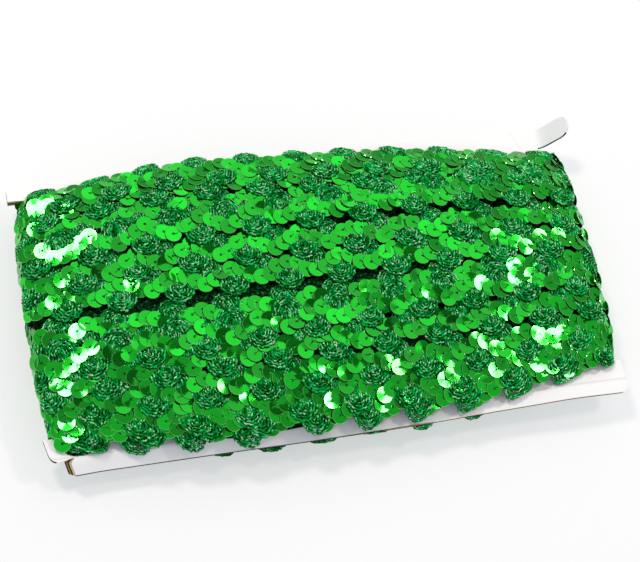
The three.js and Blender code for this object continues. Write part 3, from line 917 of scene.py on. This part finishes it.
def pale_floor(start):
    """Matt white with the faintest of clouds."""
    place = start.node("TexCoord", output="Object")
    cloud = start.node("TexNoise", inputs={"Vector": place, "Scale": 3.0, "Detail": 2.0})
    return {"Base Color": cloud.mix(paint(180, 181, 183), paint(186, 187, 188))}


floor_finish = {
    "Roughness": 0.9, "Specular IOR Level": 0.1,
    "Emission Color": paint(250, 251, 253), "Emission Strength": 0.5,
}
floor_mesh.materials.append(finish_of("pale floor", floor_finish, pale_floor))
floor = bpy.data.objects.new("studio_floor", floor_mesh)
bpy.context.scene.collection.objects.link(floor)

# The overhead board. A grey board hangs high over the right of the pack, where the sequins near its left
# end mirror it and so look darker.
BOARD_PLACE = np.array([0.375, 0.175, 1.2])
board_mesh = bpy.data.meshes.new("overhead_board")
board_corners = np.array([(-0.26, -0.13, 0), (-0.26, 0.13, 0), (0.26, 0.13, 0), (0.26, -0.13, 0)])
board_mesh.from_pydata((board_corners + BOARD_PLACE).tolist(), [], [(0, 1, 2, 3)])


def grey_cloth(start):
    """Dark grey cloth."""
    place = start.node("TexCoord", output="Object")
    weave = start.node("TexNoise", inputs={"Vector": place, "Scale": 200.0, "Detail": 2.0})
    return {"Base Color": weave.mix(paint(110, 116, 112), paint(122, 128, 124))}


cloth_constants = {"Roughness": 1.0, "Specular IOR Level": 0.0}
board_mesh.materials.append(finish_of("grey cloth", cloth_constants, grey_cloth))
overhead_board = bpy.data.objects.new("overhead_board", board_mesh)
bpy.context.scene.collection.objects.link(overhead_board)

# The studio lights. Two small warm lamps make the glare on the sequins, the key light on the left of the
# pack and the side light on the right. A large dim panel fills in, and the sky round it all is pale.
WARM = (1.0, 0.9, 0.78)


def softbox(name, place, size, radiance, colour=(1.0, 1.0, 1.0)):
    """A soft light at a place in millimetres from the card's middle, facing it, of an even brightness: its
    power is four times its area times its radiance."""
    light = bpy.data.lights.new(name, "AREA")
    light.shape = "RECTANGLE"
    light.color = colour
    light.size, light.size_y = size
    light.energy = 4 * size[0] * size[1] * radiance
    lamp = bpy.data.objects.new(name, light)
    away = unit(place)
    side = unit(np.cross([0, 1, 0], away))
    turn = np.stack([side, np.cross(away, side), away], axis=1)
    moved = Matrix.Translation(((place + CARD_MIDDLE) * MM).tolist())
    lamp.matrix_world = moved @ Matrix(turn.tolist()).to_4x4()
    bpy.context.scene.collection.objects.link(lamp)


softbox("key_light", KEY_LIGHT, (0.17, 0.14), 38.0, WARM)
softbox("side_light", SIDE_LIGHT, (0.12, 0.12), 36.0, WARM)
softbox("fill_panel", np.array([480.0, 1000.0, 1150.0]), (1.0, 1.5), 0.56)

world = bpy.data.worlds.new("studio")
world.use_nodes = True
world.node_tree.nodes["Background"].inputs["Color"].default_value = (0.92, 0.96, 1.0, 1.0)
world.node_tree.nodes["Background"].inputs["Strength"].default_value = 0.6
bpy.context.scene.world = world
bpy.context.scene.view_settings.view_transform = "Standard"

# The camera. It looks down on the pack from its near left side and is rolled clockwise round its line of
# sight. Its focal length and the place of its axis are in pixels of a picture of this size.
PHOTO_WIDTH, PHOTO_HEIGHT = 640, 562
FOCAL_PIXELS = 1704.7
AXIS_PIXEL = (317.6, 290.5)
azimuth, elevation, roll = np.radians([-30.75, 64.28, 21.04])
back = np.array([
    np.sin(azimuth) * np.cos(elevation), -np.cos(azimuth) * np.cos(elevation), np.sin(elevation)
])
level_right = np.array([np.cos(azimuth), np.sin(azimuth), 0])
level_up = np.cross(back, level_right)
right = np.cos(roll) * level_right + np.sin(roll) * level_up
up = np.cos(roll) * level_up - np.sin(roll) * level_right
camera_data = bpy.data.cameras.new("camera")
camera_data.sensor_width = 36
camera_data.lens = FOCAL_PIXELS * camera_data.sensor_width / PHOTO_WIDTH
camera_data.shift_x = (PHOTO_WIDTH / 2 - AXIS_PIXEL[0]) / PHOTO_WIDTH
camera_data.shift_y = (AXIS_PIXEL[1] - PHOTO_HEIGHT / 2) / PHOTO_WIDTH
camera = bpy.data.objects.new("camera", camera_data)
turn = Matrix(np.stack([right, up, back], axis=1).tolist()).to_4x4()
camera.matrix_world = Matrix.Translation(((CARD_MIDDLE + CAMERA_PLACE) * MM).tolist()) @ turn
bpy.context.scene.collection.objects.link(camera)
bpy.context.scene.camera = camera
